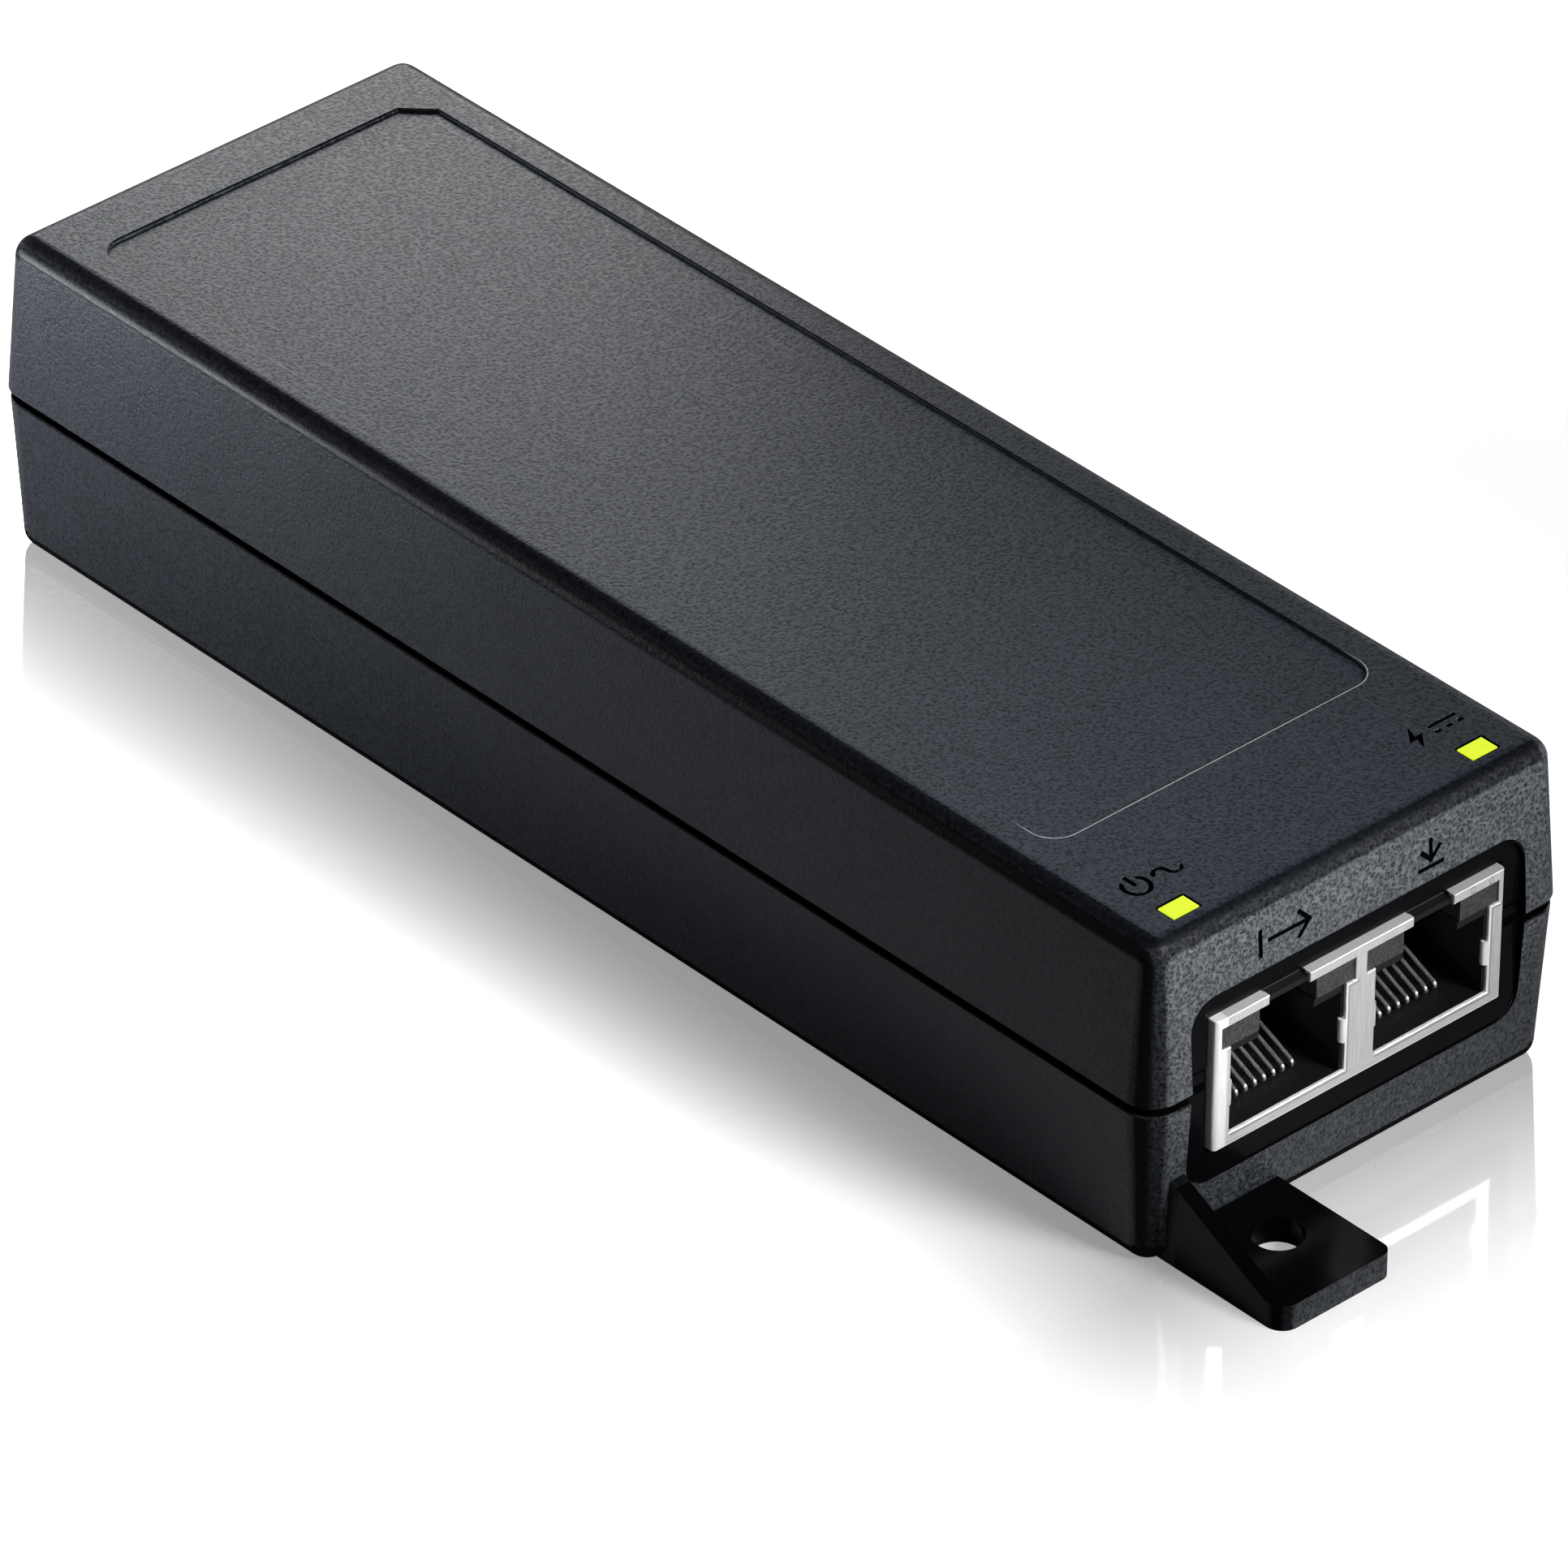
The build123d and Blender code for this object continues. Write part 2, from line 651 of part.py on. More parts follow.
def choke_parts():
    """Ring core standing on edge in a plastic cradle, with a winding on each half."""
    x, y = -9.0, 33.0
    radius, bore, thick, wire = 8.0, 4.2, 7.0, 0.9
    base = 0.9
    core = Cylinder(radius, thick) - Cylinder(bore, thick + 1)
    windings = Cylinder(radius + wire, thick + 2 * wire) - Cylinder(bore - wire, thick + 3)
    windings -= core
    windings -= block(-3.2, 3.2, -2 * radius, 2 * radius, -thick, thick)
    place = Pos(x, y, board_top + base + 0.1 + radius + wire) * Rot(90, 0, 0)
    cradle = block(x - 9.4, x + 9.4, y - 5.4, y + 5.4, board_top, board_top + base)
    return {"choke_core": place * core, "choke_windings": place * windings, "choke_base": cradle}


def package(x, y):
    """Three-legged power package: plastic body on a drilled metal tab that faces the heatsink."""
    foot, half_width, tab, leg_pitch = 3.5, 5.0, 1.3, 2.54
    body = block(-2.3, 0, -half_width, half_width, foot, 12.2)
    solid = chamfer(body.faces().sort_by(Axis.X)[0].edges(), 0.4)
    solid += block(0, tab, -half_width, half_width, foot, 16.5)
    solid -= Pos(0, 0, package_screw_height) * Rot(0, 90, 0) * Cylinder(1.7, 6)
    for leg in (-leg_pitch, 0, leg_pitch):
        solid += block(-1.3, -0.7, leg - 0.4, leg + 0.4, 0, foot)
    return Pos(x, y, board_top) * solid


def heatsink(x, y0, y1, height, hole_y):
    """Aluminium plate on edge, its top folded inward, with a tapped hole for the package screw."""
    thick, fold = 1.5, 3.5
    top = board_top + height
    plate = block(x, x + thick, y0, y1, board_top, top)
    plate += block(x - fold, x + thick, y0, y1, top - 1.2, top)
    hole = Rot(0, 90, 0) * Cylinder(package_screw_radius + 0.05, 8)
    return plate - Pos(x, hole_y, board_top + package_screw_height) * hole


def heatsink_screw(x, y):
    """Cheese-head screw through a package tab into its heatsink."""
    screw = Rot(0, 90, 0) * Cylinder(2.2, 1.4)
    screw -= block(-2, -0.3, -0.3, 0.3, -3, 3)
    screw += Pos(1.6, 0, 0) * Rot(0, 90, 0) * Cylinder(package_screw_radius, 2.6)
    return Pos(x, y, board_top + package_screw_height) * screw


def disc(x, y, z, radius, thick, turn):
    """Lacquered disc part on edge, on two legs."""
    drop = radius + z - board_top
    solid = Rot(90, 0, 0) * Cylinder(radius, thick)
    solid = fillet(solid.edges().filter_by(GeomType.CIRCLE), thick * 0.4)
    for leg in (-2.5, 2.5):
        solid += Pos(leg, 0, -drop / 2) * Cylinder(0.35, drop)
    return Pos(x, y, z + radius) * Rot(0, 0, turn) * solid


def chip(x, y, width, length, height, legs, pitch, turn=0):
    """Flat package with a row of legs along each of two sides."""
    stand = 0.3
    solid = block(-width / 2, width / 2, -length / 2, length / 2, stand, stand + height)
    solid = chamfer(solid.faces().sort_by(Axis.Z)[-1].edges(), 0.2)
    for index in range(legs):
        leg_y = (index - (legs - 1) / 2) * pitch
        for side in (-1, 1):
            near, far = sorted((side * (width / 2 - 0.1), side * (width / 2 + 0.7)))
            solid += block(near, far, leg_y - pitch / 5, leg_y + pitch / 5, 0, stand + 0.4)
    return Pos(x, y, board_top) * Rot(0, 0, turn) * solid


def line_capacitor():
    """Boxed film capacitor across the mains."""
    return fillet(block(2.4, 17.4, 27.0, 35.0, board_top, board_top + 13).edges(), 0.5)


def bridge_rectifier():
    """Flat four-legged rectifier standing on edge."""
    body = block(3.7, 7.3, 9.5, 24.5, board_top + 3, board_top + 14)
    body = chamfer(body.edges().filter_by(Axis.Z), 0.6)
    for leg in (11.2, 15.1, 18.9, 22.8):
        body += block(5.1, 5.9, leg - 0.4, leg + 0.4, board_top, board_top + 3)
    return body


def fuse():
    """Round board fuse with a domed cap."""
    body = rod(4.2, -2.0, 44.6, board_top, board_top + 8)
    return fillet(body.faces().sort_by(Axis.Z)[-1].edges(), 1.2)


def output_inductor():
    """Drum core: two flanges with the winding between them."""
    x, y = 12.5, -31.0
    flange, height = 1.2, 9.5
    low, high = board_top + flange, board_top + height - flange
    drum = rod(4.6, x, y, board_top, low) + rod(4.6, x, y, high, board_top + height)
    return drum + rod(4.2, x, y, low, high)


# ---------------------------------------------------------------- the whole injector

def nodes():
    """Every node of the injector by name."""
    out_x, in_x = -port_half_pitch, port_half_pitch
    made = {
        "lower_case": lower_case(), "upper_case": upper_case(),
        "rating_label": rating_label(), "case_screws": case_screws(),
        "power_light_pipe": light_pipe(-1), "supply_light_pipe": light_pipe(1),
        "power_led": status_led(-1), "supply_led": status_led(1),
        "jack_shield": jack_shield(), "jack_housing": jack_housing(), "jack_lamps": jack_lamps(),
        "out_contacts": contacts(out_x), "in_contacts": contacts(in_x),
        "out_carrier": carrier(out_x), "in_carrier": carrier(in_x),
        "out_leads": leads(out_x), "in_leads": leads(in_x),
        "inlet_housing": inlet_housing(),
        "main_board": main_board(), "insulation_sheet": insulation_sheet(),
        "bulk_capacitor": bulk_capacitor(), "line_capacitor": line_capacitor(),
        "output_capacitor_1": upright_can(5.0, 18.0, -10.5, -31.0),
        "output_capacitor_2": upright_can(5.0, 18.0, 1.0, -31.0),
        "output_inductor": output_inductor(), "fuse": fuse(), "bridge_rectifier": bridge_rectifier(),
        "varistor": disc(9.4, 38.9, board_top + 1.5, 4.8, 3.6, 0),
        "isolation_capacitor": disc(9.6, -10.5, board_top + 1.5, 4.2, 3.2, 90),
        "power_transistor": package(15.2, 8.0), "output_diode": package(15.2, -14.0),
        "primary_heatsink": heatsink(16.55, -1.0, 25.0, 18.0, 8.0),
        "output_heatsink": heatsink(16.55, -24.0, -4.0, 18.0, -14.0),
        "heatsink_screws": [heatsink_screw(14.45, 8.0), heatsink_screw(14.45, -14.0)],
        "optocoupler": chip(9.9, -21.2, 4.6, 4.6, 3.4, 2, 2.54),
        "supply_controller": chip(5.6, 3.0, 3.9, 4.9, 1.5, 4, 1.27),
        "port_controller": chip(8.0, -42.5, 6.0, 6.4, 1.2, 6, 0.95),
        "data_magnetics": chip(-5.0, -42.4, 7.0, 14.6, 5.6, 8, 1.27, 90),
    }
    for name, (x, z) in inlet_pin_places().items():
        made[name] = inlet_pin(x, z)
    made.update(transformer_parts())
    made.update(choke_parts())
    return made


def main():
    """Write each node to its own STEP file."""
    os.makedirs("parts", exist_ok=True)
    for name, shape in nodes().items():
        node = Compound(children=shape) if isinstance(shape, list) else shape
        export_step(node, f"parts/{name}.step")


main()
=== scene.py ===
import json
import math

import bpy
import numpy as np
from mathutils import Matrix, Vector


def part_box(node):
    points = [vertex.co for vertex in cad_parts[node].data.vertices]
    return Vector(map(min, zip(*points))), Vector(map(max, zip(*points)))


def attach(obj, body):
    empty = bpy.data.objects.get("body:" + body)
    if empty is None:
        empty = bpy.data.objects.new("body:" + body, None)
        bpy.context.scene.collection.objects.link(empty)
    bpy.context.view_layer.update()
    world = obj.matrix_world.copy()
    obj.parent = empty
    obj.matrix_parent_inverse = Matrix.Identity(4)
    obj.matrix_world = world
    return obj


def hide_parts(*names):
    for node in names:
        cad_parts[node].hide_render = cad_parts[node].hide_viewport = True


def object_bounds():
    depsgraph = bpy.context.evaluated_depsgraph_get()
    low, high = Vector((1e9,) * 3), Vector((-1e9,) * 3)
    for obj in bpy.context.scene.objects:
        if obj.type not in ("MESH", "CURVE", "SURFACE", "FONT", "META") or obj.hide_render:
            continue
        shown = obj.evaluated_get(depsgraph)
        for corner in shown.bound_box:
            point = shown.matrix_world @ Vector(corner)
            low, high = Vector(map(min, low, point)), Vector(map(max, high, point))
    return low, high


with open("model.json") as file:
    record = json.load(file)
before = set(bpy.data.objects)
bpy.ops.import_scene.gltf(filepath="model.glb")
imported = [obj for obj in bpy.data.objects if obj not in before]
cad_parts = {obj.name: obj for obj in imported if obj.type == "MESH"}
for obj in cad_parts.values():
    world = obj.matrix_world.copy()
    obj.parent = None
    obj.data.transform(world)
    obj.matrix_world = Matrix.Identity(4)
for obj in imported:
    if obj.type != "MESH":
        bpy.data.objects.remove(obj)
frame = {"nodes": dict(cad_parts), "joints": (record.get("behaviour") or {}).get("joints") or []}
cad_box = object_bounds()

mm = 0.001


# ---------------------------------------------------------------- lower shell
# The bottom half of the case: an injection-moulded tray in black flame-retardant plastic, with a screw ear
# at each end. Its walls are spark-textured to a fine grain; the ears and the pocket round the sockets are
# left as smooth as the tool steel.

class Signal:
    """A socket in a material. Sums written with it add Math nodes; node() adds any other node."""

    def __init__(self, tree, socket=None):
        self.tree = tree
        self.socket = socket

    def node(self, kind, settings, sockets, out=0):
        """Adds one node: its settings first, then the values or links of its sockets."""
        made = self.tree.nodes.new(kind)
        for name, value in settings.items():
            setattr(made, name, value)
        for key, value in sockets.items():
            if isinstance(value, Signal):
                self.tree.links.new(value.socket, made.inputs[key])
            else:
                made.inputs[key].default_value = value
        return Signal(self.tree, made.outputs[out])

    def math(self, operation, *values):
        """One Math node fed with the values."""
        return self.node("ShaderNodeMath", {"operation": operation}, dict(enumerate(values)))

    def __add__(self, other):
        return self.math("ADD", self, other)

    def __sub__(self, other):
        return self.math("SUBTRACT", self, other)

    def __rsub__(self, other):
        return self.math("SUBTRACT", other, self)

    def __mul__(self, other):
        return self.math("MULTIPLY", self, other)

    __radd__ = __add__
    __rmul__ = __mul__

    def size(self):
        """This without its sign."""
        return self.math("ABSOLUTE", self)

    def sign(self):
        """1 above 0, -1 below it."""
        return self.math("SIGN", self)

    def root(self):
        """Square root."""
        return self.math("SQRT", self)

    def sine(self):
        """Sine of an angle in radians."""
        return self.math("SINE", self)

    def most(self, other):
        """The larger of two."""
        return self.math("MAXIMUM", self, other)

    def least(self, other):
        """The smaller of two."""
        return self.math("MINIMUM", self, other)

    def above(self, edge, soft):
        """0 below edge, 1 above edge + soft, and 3 t squared - 2 t cubed at the share t of the way."""
        return self.node("ShaderNodeMapRange", {"interpolation_type": "SMOOTHSTEP"},
                         {"Value": self, "From Min": edge, "From Max": edge + soft})

    def split(self):
        """The three parts of a vector."""
        parts = self.tree.nodes.new("ShaderNodeSeparateXYZ")
        self.tree.links.new(self.socket, parts.inputs[0])
        return [Signal(self.tree, output) for output in parts.outputs]

    def blend(self, low, high):
        """Colour low where this is 0, high where it is 1."""
        return self.node("ShaderNodeMix", {"data_type": "RGBA"}, {0: self, 6: low, 7: high}, out=2)


def principled(material):
    """The sockets of a material's own shader."""
    return material.node_tree.nodes["Principled BSDF"].inputs


def begin(name):
    """A new material: returns it, a Signal to build from, and its shader's sockets."""
    material = bpy.data.materials.new(name)
    material.use_nodes = True
    return material, Signal(material.node_tree), principled(material)


def plug(socket, signal):
    """Feeds a shader socket."""
    signal.tree.links.new(signal.socket, socket)


def finish_with(material, shader):
    """Shows a shader on the material's surface."""
    plug(material.node_tree.nodes["Material Output"].inputs["Surface"], shader)


def mix_shaders(share, low, high):
    """Shader low where share is 0, high where it is 1."""
    return share.node("ShaderNodeMixShader", {}, {0: share, 1: low, 2: high})


def place(start):
    """Position on the object, in metres."""
    return start.node("ShaderNodeTexCoord", {}, {}, out=3)


def facing(start):
    """The three parts of the unit vector that stands square on the surface."""
    return start.node("ShaderNodeNewGeometry", {}, {}, out=1).split()


def noise(where, size, detail=2.0, rough=0.5, stretch=(1, 1, 1)):
    """Smooth noise from 0 to 1 whose lumps are about size metres across."""
    scaled = where.node("ShaderNodeMapping", {}, {"Vector": where, "Scale": stretch})
    return where.node("ShaderNodeTexNoise", {}, {"Vector": scaled, "Scale": 1 / size, "Detail": detail,
                                                 "Roughness": rough})


def cells(where, size):
    """Distance from the middle of cells about size metres across, 0 in the middle."""
    return where.node("ShaderNodeTexVoronoi", {"feature": "SMOOTH_F1"},
                      {"Vector": where, "Scale": 1 / size})


def bump(height, depth):
    """Normal of a surface raised by height times depth metres."""
    return height.node("ShaderNodeBump", {}, {"Height": height, "Distance": depth, "Strength": 1.0})


def dress(material, *nodes):
    """Gives CAD nodes a finish."""
    for name in nodes:
        frame["nodes"][name].material_slots[0].material = material


def colour(red, green, blue):
    """A colour from its 0 to 255 parts, in the linear values that sockets take. A part up to 0.04045 of
    full is divided by 12.92; a brighter one is ((part + 0.055) / 1.055) to the power 2.4."""
    parts = np.array([red, green, blue]) / 255
    linear = np.where(parts <= 0.04045, parts / 12.92, ((parts + 0.055) / 1.055) ** 2.4)
    return (*linear, 1)


def beyond(x, y, half_x, half_y, radius):
    """Distance outside a rounded rectangle, less than 0 inside it: the length of
    (|x| - half_x + radius, |y| - half_y + radius) where those are positive, less the radius, and where
    neither is, the larger of |x| - half_x and |y| - half_y."""
    over_x = (x.size() - (half_x - radius)).most(0)
    over_y = (y.size() - (half_y - radius)).most(0)
    inside = (x.size() - half_x).most(y.size() - half_y).least(-radius)
    return (over_x * over_x + over_y * over_y).root() + inside


def patch(x, y, half_x, half_y, radius, grow=0, soft=0.05 * mm):
    """1 inside a rounded rectangle grown by grow, falling to 0 over the next soft metres."""
    return 1 - beyond(x, y, half_x, half_y, radius).above(grow, soft)


def painted_shade_parts(x, y, z, case_low, case_high):
    """1 where painted shade goes, a flat black over the gap between the shells, the slots round the light
    windows and the sunk strokes of the signs, which lie in shade. The front wall leans back by its draft
    times the height over its foot."""
    gap_height, gap_half = 15.2 * mm, 0.41 * mm
    gap = 1 - (z - gap_height).size().above(gap_half, 0.03 * mm)

    window_x, window_y, window_half_x, window_half_y = 16.2 * mm, -65.6 * mm, 1.475 * mm, 1.05 * mm
    window_corner, window_slot, slot_foot = 0.2 * mm, 0.05 * mm, 26 * mm
    slots = patch(x.size() - window_x, y - window_y, window_half_x, window_half_y, window_corner,
                  window_slot)
    slots = slots * z.above(slot_foot, 1 * mm)

    sign_half_x, sign_corner = 3.4 * mm, 0.3 * mm
    top_sign_x, top_sign_y, top_sign_half_y = 16 * mm, -61.4 * mm, 2.1 * mm
    stroke_floor, stroke_depth = 29 * mm, 0.09 * mm
    top_signs = patch(x.size() - top_sign_x, y - top_sign_y, sign_half_x, top_sign_half_y, sign_corner)
    top_signs = top_signs * z.above(stroke_floor, 0.1 * mm)
    top_signs = top_signs * (1 - z.above(case_high.z - stroke_depth, 0.05 * mm))

    front_sign_x, front_sign_z, front_sign_half_z = 7.9 * mm, 26 * mm, 1.8 * mm
    draft, wall_foot = 0.071, 15.6 * mm
    front_signs = patch(x.size() - front_sign_x, z - front_sign_z, sign_half_x, front_sign_half_z,
                        sign_corner)
    sunk = y - case_low.y - draft * (z - wall_foot)
    front_signs = front_signs * sunk.above(0.05 * mm, 0.04 * mm) * (1 - sunk.above(0.6 * mm, 0.1 * mm))
    return gap.most(slots).most(top_signs).most(front_signs)


def painted_shade_roundings(y, z, nx, ny, nz):
    """How much painted shade the roundings get, from 0 to 1. turned is 1 less the largest of |nx|, |ny| and
    |nz|:
    0 on a wall and 0.29 halfway round an edge. The edges that face away get least painted shade; the left
    shoulder of the case and the foot of its walls get most."""
    turned = 1 - nx.size().most(ny.size()).most(nz.size())
    away = nx.most(ny).above(0.1, 0.2)
    edges = turned.above(0.008, 0.06) * (0.8 - 0.6 * away)
    shoulder = turned.above(0.003, 0.02) * (1 - nx.above(-0.2, 0.1)) * nz.above(0.05, 0.1)
    foot_top, foot_end = 1.6 * mm, 70.2 * mm
    foot = turned.above(0.003, 0.01) * (1 - z.above(foot_top, 0.2 * mm))
    foot = foot * (1 - y.size().above(foot_end, 0.1 * mm))
    return edges.most(0.75 * shoulder).most(0.92 * foot)


def polished_parts(x, y, z, ny, sideways, upward, case_high):
    """1 where the tool steel was polished: the pocket round the sockets and the ears, but for the ends of
    the ears. The long walls are polished in part."""
    pocket_z, pocket_half_x, pocket_half_z, pocket_corner = 14.7 * mm, 18.15 * mm, 8.8 * mm, 2.6 * mm
    pocket = patch(x, z - pocket_z, pocket_half_x, pocket_half_z, pocket_corner, 0.04 * mm, 0.06 * mm)
    pocket_end = -60 * mm
    pocket = pocket * (1 - y.above(pocket_end, 1 * mm))
    ear_root, ear_tip, ear_height = 69 * mm, 81 * mm, 7 * mm
    outside = y.size().above(case_high.y + 0.1 * mm, 0.1 * mm)
    ear_end = ny.size().above(0.6, 0.2) * y.size().above(ear_tip, 0.1 * mm)
    ear_top = upward * (1 - z.above(ear_height, 0.1 * mm)) * y.size().above(ear_root, 0.1 * mm)
    return pocket.most(outside * (1 - ear_end)).most(ear_top).most(0.45 * sideways)


def painted_panel_highlight(x, y, z, upward):
    """1 on the sharp edge that borders the front part of the sunk panel, where a pale highlight is painted.
    """
    panel_y, panel_half_x, panel_half_y, panel_corner = 4.6 * mm, 17.7 * mm, 57.6 * mm, 2.4 * mm
    way = beyond(x, y - panel_y, panel_half_x, panel_half_y, panel_corner)
    offset, half_wide, fade = 0.1 * mm, 0.06 * mm, 0.06 * mm
    line = 1 - (way - offset).size().above(half_wide, fade)
    panel_top, line_end = 30 * mm, -52 * mm
    return line * upward * z.above(panel_top, 0.1 * mm) * (1 - y.above(line_end, 4 * mm))


def case_finish():
    """Black moulded plastic in three shaders: a grained one nearly everywhere, a smooth one where the tool
    was polished, and a flat black one that paints shade into gaps, slots, strokes and roundings. Grain is
    noise and pits added, 0 in the valleys and 1 on the hills. The hills are paler and carry the coat; on
    the end walls they stand highest and are painted paler still as painted light, palest on the upper half,
    with painted shade towards the foot."""
    material, start, grained = begin("case_plastic_black")
    where = place(start)
    x, y, z = where.split()
    nx, ny, nz = facing(start)
    case_low, case_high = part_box("upper_case")
    sideways = nx.size().above(0.6, 0.2)
    upward = nz.above(0.6, 0.2)

    grain_size, pit_size, drift_size, wave_size = 0.24 * mm, 0.34 * mm, 9 * mm, 4 * mm
    grain_depth, wave_depth = 0.12 * mm, 0.05 * mm
    fine = noise(where, grain_size, 3.0, 0.7)
    grain = (fine * 0.75 + cells(where, pit_size) * 0.45).above(0.35, 0.4)
    drift = noise(where, drift_size, 3.0)
    shade = 0.8 * grain + 0.2 * drift
    depth = 1 - 0.85 * sideways - 0.82 * upward
    # Painted light and shade: on the end walls the hills are painted paler than on the top and sides, and
    # darker towards the foot.
    dim_below, dim_rise = 6 * mm, 10 * mm
    painted_light_and_shade = (1 - upward.most(sideways)) * (0.5 + 0.5 * z.above(dim_below, dim_rise))
    # The second colour here is a painted highlight along the front edge of the sunk panel.
    valley, arris_highlight = colour(5, 6, 8), colour(127, 129, 133)
    shaded_hill, lit_hill = colour(31, 35, 42), colour(82, 85, 89)
    tone = shade.blend(valley, painted_light_and_shade.blend(shaded_hill, lit_hill))
    plug(grained["Base Color"], painted_panel_highlight(x, y, z, upward).blend(tone, arris_highlight))
    plug(grained["Roughness"], 0.31 + 0.15 * depth + 0.05 * (drift - 0.5))
    plug(grained["Normal"], bump(grain * depth, grain_depth))
    plug(grained["Coat Weight"], grain * (0.34 - 0.28 * sideways))
    grained["Coat Roughness"].default_value = 0.3
    grained["Specular IOR Level"].default_value = 0.13
    grained["Specular Tint"].default_value = (0.76, 0.88, 1.0, 1)

    smooth = start.node("ShaderNodeBsdfPrincipled", {}, {"Roughness": 0.16 + 0.06 * drift,
                                                         "Specular IOR Level": 0.04})
    sockets = smooth.socket.node.inputs
    plug(sockets["Base Color"], drift.blend(colour(3, 3, 4), colour(6, 6, 7)))
    plug(sockets["Normal"], bump(noise(where, wave_size, 1.0), wave_depth))
    # A flat black diffuse shader, for painted shade.
    painted_shade_black = start.node("ShaderNodeBsdfDiffuse", {}, {"Color": colour(3, 3, 3)})

    tree = material.node_tree
    rough = Signal(tree, tree.nodes["Principled BSDF"].outputs[0])
    polish = polished_parts(x, y, z, ny, sideways, upward, case_high)
    # Painted shade: the flat black takes over where the gap, slots, sunk strokes and roundings lie in
    # shade.
    painted_shade_mask = painted_shade_parts(x, y, z, case_low, case_high).most(painted_shade_roundings(y, z, nx, ny, nz))
    finish_with(material, mix_shaders(painted_shade_mask, mix_shaders(polish, rough, smooth), painted_shade_black))
    return material


case_black = case_finish()
dress(case_black, "lower_case")


# ---------------------------------------------------------------- board and insulation
# The main board is green glass-fibre laminate with a solder mask, and a clear film lies between its
# soldered side and the lower shell. The board rests on posts and is held by the four case screws.

def board_finish():
    """Green solder mask with copper tracks showing through. The glass cloth under it is the product of
    two sines, one along x and one along y, each with one turn to a thread."""
    material, start, shader = begin("board_green")
    where = place(start)
    x, y, _ = where.split()
    thread = 0.5 * mm
    cloth = (x * (2 * math.pi / thread)).sine() * (y * (2 * math.pi / thread)).sine()
    tracks = noise(where, 6 * mm, 0.0, 0.5, (1, 0.35, 1)).above(0.55, 0.015)
    plug(shader["Base Color"], tracks.blend(colour(24, 74, 46), colour(38, 104, 62)))
    plug(shader["Roughness"], 0.32 + 0.06 * noise(where, 3 * mm))
    plug(shader["Normal"], bump(tracks + 0.05 * cloth, 0.035 * mm))
    return material


def film_finish():
    """Milky polyester film with faint handling marks."""
    material, start, shader = begin("insulation_film")
    where = place(start)
    marks = noise(where, 5 * mm, 4.0, 0.6)
    plug(shader["Base Color"], marks.blend(colour(196, 190, 170), colour(216, 212, 196)))
    plug(shader["Roughness"], 0.25 + 0.2 * marks)
    plug(shader["Normal"], bump(marks, 0.05 * mm))
    return material


dress(board_finish(), "main_board")
dress(film_finish(), "insulation_sheet")


# ---------------------------------------------------------------- capacitors
# Aluminium cans shrink-wrapped in a plain sleeve, a boxed film capacitor potted in yellow plastic, and
# two lacquered discs. All are soldered to the board by their leads.

def sleeve_finish():
    """Dark blue shrink sleeve, bare aluminium on the scored lid."""
    material, start, shader = begin("capacitor_sleeve")
    where = place(start)
    _, _, nz = facing(start)
    lid = nz.above(0.9, 0.05)
    ripple = noise(where, 2.5 * mm, 3.0)
    plug(shader["Base Color"], lid.blend(colour(26, 34, 62), colour(182, 184, 186)))
    plug(shader["Metallic"], lid)
    plug(shader["Roughness"], 0.28 + 0.1 * ripple)
    plug(shader["Normal"], bump(ripple, 0.04 * mm))
    return material


def plastic(name, low, high, roughness, size, depth):
    """A moulded or potted plastic: two close colours over lumps of one size, with a slight bump."""
    material, start, shader = begin(name)
    lumps = noise(place(start), size, 3.0, 0.6)
    plug(shader["Base Color"], lumps.blend(low, high))
    plug(shader["Roughness"], roughness + 0.12 * (lumps - 0.5))
    plug(shader["Normal"], bump(lumps, depth))
    return material


film_yellow = plastic("film_capacitor_yellow", colour(206, 160, 40), colour(220, 178, 58), 0.45,
                      1.2 * mm, 0.02 * mm)
lacquer_blue = plastic("disc_lacquer_blue", colour(30, 62, 120), colour(40, 78, 142), 0.22,
                       1.6 * mm, 0.06 * mm)
dress(sleeve_finish(), "bulk_capacitor", "output_capacitor_1", "output_capacitor_2")
dress(film_yellow, "line_capacitor")
dress(lacquer_blue, "isolation_capacitor", "varistor")


# ---------------------------------------------------------------- wound parts
# Transformer, mains choke and output inductor: sintered ferrite cores, enamelled copper and yellow
# polyester tape, on black moulded bobbins and cradles.

def wire_finish():
    """Enamelled copper wound in close turns: a sine along z with one turn to a wire."""
    material, start, shader = begin("enamelled_wire")
    where = place(start)
    _, _, z = where.split()
    wire = 0.9 * mm
    turns = (z * (2 * math.pi / wire)).sine()
    tint = noise(where, 4 * mm)
    plug(shader["Base Color"], tint.blend(colour(150, 72, 34), colour(184, 98, 50)))
    shader["Metallic"].default_value = 0.7
    plug(shader["Roughness"], 0.3 + 0.1 * tint)
    plug(shader["Normal"], bump(turns, 0.12 * mm))
    return material


ferrite = plastic("ferrite_grey", colour(44, 44, 46), colour(62, 62, 64), 0.62, 0.5 * mm, 0.03 * mm)
tape = plastic("winding_tape_yellow", colour(214, 178, 52), colour(228, 196, 84), 0.3, 3 * mm, 0.06 * mm)
part_black = plastic("part_black", colour(30, 30, 31), colour(40, 40, 42), 0.5, 0.4 * mm, 0.02 * mm)
dress(ferrite, "transformer_core", "choke_core", "output_inductor")
dress(tape, "transformer_winding")
dress(wire_finish(), "choke_windings")
dress(part_black, "transformer_bobbin", "choke_base")


# ---------------------------------------------------------------- semiconductors and fuse
# Black epoxy packages: power transistor and diode screwed to their heatsinks, rectifier, optocoupler,
# control chips, the data magnetics and the round board fuse. All are soldered to the board.

dress(part_black, "power_transistor", "output_diode", "bridge_rectifier", "optocoupler",
      "supply_controller", "port_controller", "data_magnetics", "fuse")


# ---------------------------------------------------------------- heatsinks
# Two folded aluminium plates that stand on the board; a screw through each package's tab holds it flat
# against its plate. The rolling direction shows as fine streaks.

